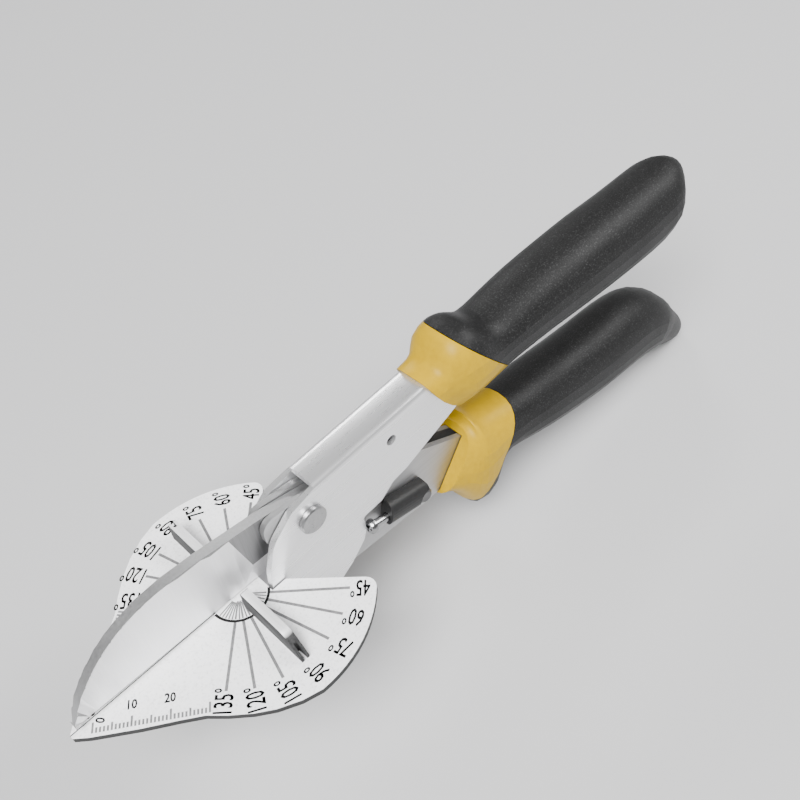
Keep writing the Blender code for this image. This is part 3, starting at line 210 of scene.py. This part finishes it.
# Printed scales
PRINT_LIFT = 0.02
PRINT_THICKNESS = 0.03
ARC_RADIUS = 8.2
ARC_WIDTH = 0.78
ARC_SPANS = ((34, 81, 18), (100, 179, 24))
RAY_START = 8.6
RAY_WIDTH = 0.80
RAY_ENDS = {45: 30.3, 60: 29.7, 75: 29.3, 105: 28.6, 120: 28.2, 135: 27.6}
INNER_RAY = (2.2, 7.6)
INNER_RAY_WIDTH = 0.48
FAN_ANGLES = (52, 67, 97, 112, 127, 142, 149, 156, 163, 170)
FAN_LINE = (2.6, 7.7)
FAN_WIDTH = 0.36
LABELS_NEAR = {45: 33.0, 60: 32.7, 75: 33.2, 90: 32.6, 105: 32.2, 120: 31.2, 135: 30.4}
LABELS_FAR = {45: 34.2, 60: 33.7, 75: 33.2, 90: 33.7, 105: 32.4, 120: 31.7, 135: 30.8}
LABEL_SIZE = 6.9
LABEL_SQUEEZE = 0.58
RULER_START = Vector((-49.2, -3.1))
RULER_END = Vector((-25.7, -20.9))
RULER_MARKS = 30
TICK_WIDTH = 0.52
TICKS = {10: 2.8, 5: 2.1, 1: 1.4}
DIGIT_MARKS = (0, 10, 20)
DIGIT_SIZE = 3.5
DIGIT_SQUEEZE = 0.85
DIGIT_STEP = 2.9
DIGIT_SHIFT = 0.3
STROKE_GROWTH = 0.18
STROKE_TURNS = (45, 135, 225, 315)
TEXT_RESOLUTION = 2


def at(x, y, z=0.0):
    """A place in millimetres from the plate's angle centre."""
    return ORIGIN + Vector((x, y, z)) * MM


def add_object(name, data):
    obj = bpy.data.objects.new(name, data)
    bpy.context.scene.collection.objects.link(obj)
    return obj


# Nodes

class Tree:
    """Short ways to add nodes to the node tree of a world or a material."""

    def __init__(self, owner):
        owner.use_nodes = True
        self.nodes, self.links = owner.node_tree.nodes, owner.node_tree.links

    def feed(self, node, inputs):
        """Sets a node's inputs, or links them where the value is another node's socket."""
        for name, value in inputs.items():
            if isinstance(value, bpy.types.NodeSocket):
                self.links.new(value, node.inputs[name])
            else:
                node.inputs[name].default_value = value

    def add(self, kind, inputs):
        node = self.nodes.new(kind)
        self.feed(node, inputs)
        return node.outputs

    def coordinate(self, kind):
        return self.add("ShaderNodeTexCoord", {})[kind]

    def place(self, scale=(1.0, 1.0, 1.0), turn=0):
        """Object coordinates, scaled, and turned about Y by an angle in degrees."""
        rotation = (0.0, math.radians(turn), 0.0)
        inputs = {"Vector": self.coordinate("Object"), "Scale": scale, "Rotation": rotation}
        return self.add("ShaderNodeMapping", inputs)["Vector"]

    def noise(self, vector, scale, detail, roughness=0.5):
        inputs = {"Vector": vector, "Scale": scale, "Detail": detail, "Roughness": roughness}
        return self.add("ShaderNodeTexNoise", inputs)["Fac"]

    def ramp(self, value, stops):
        """Colours at places along a value."""
        node = self.nodes.new("ShaderNodeValToRGB")
        items = node.color_ramp.elements
        while len(items) < len(stops):
            items.new(0.5)
        for item, (place, colour) in zip(items, stops):
            item.position = place
            item.color = (*colour, 1.0)
        self.feed(node, {"Fac": value})
        return node.outputs["Color"]

    def greys(self, value, stops):
        return self.ramp(value, [(place, grey(tone)) for place, tone in stops])

    def tones(self, value, pair):
        """Two greys over the range of a noise."""
        return self.greys(value, zip((NOISE_LOW, NOISE_HIGH), pair))

    def spread(self, value, low, high, start=NOISE_LOW, end=NOISE_HIGH):
        """Maps a value's range from start to end on to low to high."""
        inputs = {"Value": value, "From Min": start, "From Max": end, "To Min": low, "To Max": high}
        return self.add("ShaderNodeMapRange", inputs)["Result"]

    def axis(self, kind, letter):
        return self.add("ShaderNodeSeparateXYZ", {"Vector": self.coordinate(kind)})[letter]

    def facing(self, letter, slopes):
        """From 0 to 1 as a face turns towards an axis of the object, either way along it."""
        node = self.nodes.new("ShaderNodeMath")
        node.operation = "ABSOLUTE"
        self.feed(node, {0: self.axis("Normal", letter)})
        return self.spread(node.outputs[0], 0.0, 1.0, *slopes)

    def mixed(self, factor, one, two):
        node = self.nodes.new("ShaderNodeMix")
        node.data_type = "RGBA"
        self.feed(node, {"Factor": factor, "A": one, "B": two})
        return node.outputs["Result"]


class Finish(Tree):
    """A new material."""

    def __init__(self, name, plain):
        self.material = bpy.data.materials.new(name)
        super().__init__(self.material)
        self.shader = self.nodes["Principled BSDF"]
        self.feed(self.shader, plain)

    def coat(self, colour, roughness, height, relief, depth=FINE_DEPTH):
        """Sets what varies over the surface, and returns the finished material."""
        bump = self.add("ShaderNodeBump", {"Height": height, "Strength": relief, "Distance": depth})
        self.feed(self.shader, {"Base Color": colour, "Roughness": roughness, "Normal": bump["Normal"]})
        return self.material


# Camera and light

def add_camera():
    turn = Matrix.Rotation(CAMERA_TURN.length, 3, CAMERA_TURN.normalized())
    eye = -(turn.transposed() @ CAMERA_SHIFT)
    data = bpy.data.cameras.new("camera")
    data.sensor_width = SENSOR
    data.lens = FOCAL_PIXELS / IMAGE_PIXELS * SENSOR
    data.clip_start = CLIP_START
    camera = add_object("camera", data)
    axes = Matrix((turn[0], -turn[1], -turn[2])).transposed()
    camera.matrix_world = Matrix.Translation(at(*eye)) @ axes.to_4x4()
    bpy.context.scene.camera = camera


def add_lights():
    for name, (place, size, power) in AREA_LIGHTS.items():
        data = bpy.data.lights.new(name, "AREA")
        data.shape = "RECTANGLE"
        data.size, data.size_y = size
        data.energy = power
        light = add_object(name, data)
        light.location = place
        light.rotation_euler = (LIGHT_TARGET - light.location).to_track_quat("-Z", "Y").to_euler()
    data = bpy.data.lights.new("soft_sun", "SUN")
    data.energy, data.angle = SUN_STRENGTH, SUN_WIDTH
    add_object("soft_sun", data).rotation_euler = SUN_WAY.to_track_quat("-Z", "Y").to_euler()


def add_sky():
    """A world that is brighter at the horizon than overhead."""
    world = bpy.data.worlds.new("studio")
    bpy.context.scene.world = world
    tree = Tree(world)
    sky = tree.greys(tree.axis("Generated", "Z"), SKY_TONES)
    tree.feed(tree.nodes["Background"], {"Color": sky})


def add_floor():
    mesh = bpy.data.meshes.new("floor")
    form = bmesh.new()
    bmesh.ops.create_grid(form, x_segments=1, y_segments=1, size=FLOOR_HALF)
    form.to_mesh(mesh)
    form.free()
    floor = add_object("floor", mesh)
    floor.location.z = cad_box[0][2] - FLOOR_DROP
    pale = Finish("floor_pale", {"Base Color": FLOOR_COLOUR, "Roughness": FLOOR_ROUGHNESS})
    mesh.materials.append(pale.material)


# Materials

def steel_material(name, tones, roughness, grain, turn, relief, metal):
    """Steel with fine lines along its length and a soft variation in tone."""
    steel = Finish(name, {"Metallic": metal})
    lines = steel.noise(steel.place(grain, turn), 1.0, STEEL_DETAIL, STEEL_NOISE_ROUGHNESS)
    return steel.coat(steel.tones(lines, tones), steel.spread(lines, *roughness), lines, relief)


def blade_material():
    """Ground faces with fine lines across them, and a darker unground flat and a grey back, both painted
    reflection.
    """
    steel = Finish("ground_blade", {"Metallic": 1.0})
    lines = steel.noise(steel.place(BLADE_GRAIN, BLADE_GRAIN_TURN), 1.0, STEEL_DETAIL)
    ground, flat, back = (steel.tones(lines, pair) for pair in (BLADE_GROUND, BLADE_FLAT_REFLECTION, BLADE_BACK_REFLECTION))
    # Darker flat and grey back: painted reflection
    side = steel.mixed(steel.facing("Z", GROUND_SLOPE), flat, ground)
    colour = steel.mixed(steel.facing("Y", SIDE_SLOPE), back, side)
    return steel.coat(colour, steel.spread(lines, *BLADE_ROUGHNESS), lines, BLADE_RELIEF)


def fence_material():
    """A pale brushed top, and sides and ends darkened as painted shade, dull and less metallic."""
    steel = Finish("fence_satin", {"Specular IOR Level": FENCE_GLOSS})
    lines = steel.noise(steel.place(FENCE_GRAIN), 1.0, STEEL_DETAIL)
    upward = steel.facing("Z", FENCE_TOP_SLOPE)
    steel.feed(steel.shader, {"Metallic": steel.spread(upward, 0.0, FENCE_TOP_METAL, 0.0, 1.0)})
    # Dark sides and ends: painted shade
    colour = steel.mixed(upward, steel.tones(lines, FENCE_SIDE_SHADE), steel.tones(lines, FENCE_TOP))
    return steel.coat(colour, steel.spread(lines, *FENCE_ROUGHNESS), lines, FENCE_RELIEF)


def plate_material():
    """A white speckled coating on the faces, and a near-black cut edge as painted shade."""
    coating = Finish("plate_coating", {"Specular IOR Level": PLATE_GLOSS})
    place = coating.place()
    fine = coating.noise(place, SPECKLE_SCALE, FINE_DETAIL)
    cloud = coating.noise(place, EDGE_SCALE, CLOUD_DETAIL)
    edge, speckle = coating.greys(cloud, EDGE_SHADE_TONES), coating.greys(fine, SPECKLE_TONES)
    # Near-black edge: painted shade
    colour = coating.mixed(coating.facing("Z", PLATE_TOP_SLOPE), edge, speckle)
    return coating.coat(colour, coating.spread(cloud, *PLATE_ROUGHNESS), fine, PLATE_RELIEF)


def skin_material(name, stops, roughness, scale, relief, depth, gloss):
    """A moulded or dipped skin with a fine grain."""
    skin = Finish(name, {"Specular IOR Level": gloss})
    place = skin.place()
    fine = skin.noise(place, scale, FINE_DETAIL, SKIN_NOISE_ROUGHNESS)
    cloud = skin.noise(place, CLOUD_SCALE, CLOUD_DETAIL)
    return skin.coat(skin.ramp(fine, stops), skin.spread(cloud, *roughness), fine, relief, depth)


def ink_material(name, tone):
    """A printed ink, slightly uneven."""
    ink = Finish(name, {"Roughness": INK_ROUGHNESS, "Specular IOR Level": INK_GLOSS})
    fine = ink.noise(ink.place(), INK_SCALE, FINE_DETAIL)
    ink.feed(ink.shader, {"Base Color": ink.tones(fine, [tone * share for share in INK_SPREAD])})
    return ink.material


# Surfaces

def shade(name, finish, body):
    """A piece of the node's own shape, with its curved faces shaded as smooth surfaces."""
    form = bmesh.new()
    form.from_mesh(bpy.data.objects[name].data)
    if name == "lock_rivet":
        nearest = min(vert.co.y for vert in form.verts)
        for vert in form.verts:
            if vert.co.y < nearest + RIVET_CROWN * MM:
                vert.co.y -= RIVET_RISE * MM
    bmesh.ops.remove_doubles(form, verts=form.verts, dist=WELD * MM)
    form.normal_update()
    for face in form.faces:
        face.smooth = True
    for edge in form.edges:
        if len(edge.link_faces) == 2:
            flat = all(abs(face.normal.y) > SIDEWAYS for face in edge.link_faces)
            edge.smooth = edge.calc_face_angle(0.0) < (FLAT_ANGLE if flat else ROUND_ANGLE)
    mesh = bpy.data.meshes.new(name + "_surface")
    form.to_mesh(mesh)
    form.free()
    mesh.materials.append(finish)
    piece = add_object(name + "_surface", mesh)
    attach(piece, body)
    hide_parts(name)


def dress():
    finishes = {name: steel_material(name, *values) for name, values in STEELS.items()}
    finishes.update((name, skin_material(name, *values)) for name, values in SKINS.items())
    finishes.update(ground_blade=blade_material(), fence_satin=fence_material(),
                    plate_coating=plate_material())
    for body, members in frame["record"]["behaviour"]["bodies"].items():
        for name in members:
            kind, slot = SURFACES.get(name, (PLAIN.get(name, OTHER_PLAIN), None))
            materials = bpy.data.objects[name].data.materials
            materials.clear()
            materials.append(finishes[kind])
            if slot:
                shade(name, finishes[kind], body)


# Printed marks

class Print:
    """Collects flat printed shapes on the plate's top face and makes one piece of each ink."""

    def __init__(self, colour):
        self.colour = colour
        self.form = bmesh.new()

    def polygon(self, points):
        low = [self.form.verts.new(at(x, y, PRINT_LIFT)) for x, y in points]
        high = [self.form.verts.new(at(x, y, PRINT_LIFT + PRINT_THICKNESS)) for x, y in points]
        self.form.faces.new(high)
        self.form.faces.new(list(reversed(low)))
        for k in range(len(points)):
            self.form.faces.new((low[k - 1], low[k], high[k], high[k - 1]))

    def line(self, start, end, width):
        side = (end - start).normalized().orthogonal() * width / 2
        self.polygon([start - side, start + side, end + side, end - side])

    def arc(self, radius, width, start, end, steps):
        inner, outer = radius - width / 2, radius + width / 2
        angles = [math.radians(start + (end - start) * k / steps) for k in range(steps + 1)]
        for one, two in zip(angles, angles[1:]):
            self.polygon([(r * math.cos(t), r * math.sin(t)) for r, t in
                          ((inner, one), (outer, one), (outer, two), (inner, two))])

    def text(self, words, centre, baseline, size, squeeze):
        """Digits centred on a place, reading along the baseline direction.

        Copies moved a little each way make their strokes bolder.
        """
        curve = bpy.data.curves.new("digits", "FONT")
        curve.body = words
        curve.size = size
        curve.align_x, curve.align_y = "CENTER", "CENTER"
        curve.extrude = PRINT_THICKNESS / 2
        curve.resolution_u = TEXT_RESOLUTION
        source = add_object("digits", curve)
        bpy.context.view_layer.update()
        mesh = bpy.data.meshes.new_from_object(source.evaluated_get(bpy.context.evaluated_depsgraph_get()))
        bpy.data.objects.remove(source, do_unlink=True)
        bpy.data.curves.remove(curve)
        angle = math.atan2(baseline.y, baseline.x)
        middle = at(centre.x, centre.y, PRINT_LIFT + PRINT_THICKNESS / 2)
        turn = Matrix.Rotation(angle, 4, "Z") @ Matrix.Diagonal((squeeze * MM, MM, MM, 1.0))
        mesh.transform(Matrix.Translation(middle) @ turn)
        growth = Vector((STROKE_GROWTH * MM / 2, 0.0, 0.0))
        for degrees in STROKE_TURNS:
            step = Matrix.Rotation(angle + math.radians(degrees), 3, "Z") @ growth
            mesh.transform(Matrix.Translation(step))
            self.form.from_mesh(mesh)
            mesh.transform(Matrix.Translation(-step))
        bpy.data.meshes.remove(mesh)

    def finish(self):
        bmesh.ops.recalc_face_normals(self.form, faces=self.form.faces)
        mesh = bpy.data.meshes.new("scale_" + self.colour)
        self.form.to_mesh(mesh)
        self.form.free()
        mesh.materials.append(ink_material("ink_" + self.colour, INK_TONES[self.colour]))
        piece = add_object("scale_" + self.colour, mesh)
        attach(piece, "upper_handle")


def towards(degrees, side):
    """The direction of an angle mark on the near side, -1, or the far side, 1."""
    angle = math.radians(degrees)
    return Vector((math.cos(angle), side * math.sin(angle)))


def print_angles(black, soft, side):
    for start, end, steps in ARC_SPANS:
        black.arc(ARC_RADIUS, ARC_WIDTH, side * start, side * end, steps)
    for degrees, reach in RAY_ENDS.items():
        way = towards(degrees, side)
        soft.line(way * RAY_START, way * reach, RAY_WIDTH)
        soft.line(way * INNER_RAY[0], way * INNER_RAY[1], INNER_RAY_WIDTH)
    for degrees in FAN_ANGLES:
        way = towards(degrees, side)
        soft.line(way * FAN_LINE[0], way * FAN_LINE[1], FAN_WIDTH)
    for degrees, reach in (LABELS_NEAR if side < 0 else LABELS_FAR).items():
        way = towards(degrees, side)
        black.text(str(degrees) + "°", way * reach, way * side, LABEL_SIZE, LABEL_SQUEEZE)


def print_ruler(black, soft, side):
    start = Vector((RULER_START.x, -side * RULER_START.y))
    end = Vector((RULER_END.x, -side * RULER_END.y))
    along = (end - start) / RULER_MARKS
    inward = Vector((along.y, -along.x)).normalized() * side
    for mark in range(RULER_MARKS + 1):
        length = TICKS[next(kind for kind in TICKS if mark % kind == 0)]
        base = start + along * mark
        soft.line(base, base + inward * length, TICK_WIDTH)
        if mark in DIGIT_MARKS:
            centre = base + inward * (TICKS[10] + DIGIT_STEP) - along * DIGIT_SHIFT
            black.text(str(mark), centre, -along * side, DIGIT_SIZE, DIGIT_SQUEEZE)


def add_prints():
    black, soft = Print("black"), Print("grey")
    for side in (-1, 1):
        print_angles(black, soft, side)
        print_ruler(black, soft, side)
    black.finish()
    soft.finish()


add_camera()
add_lights()
add_sky()
add_floor()
dress()
add_prints()
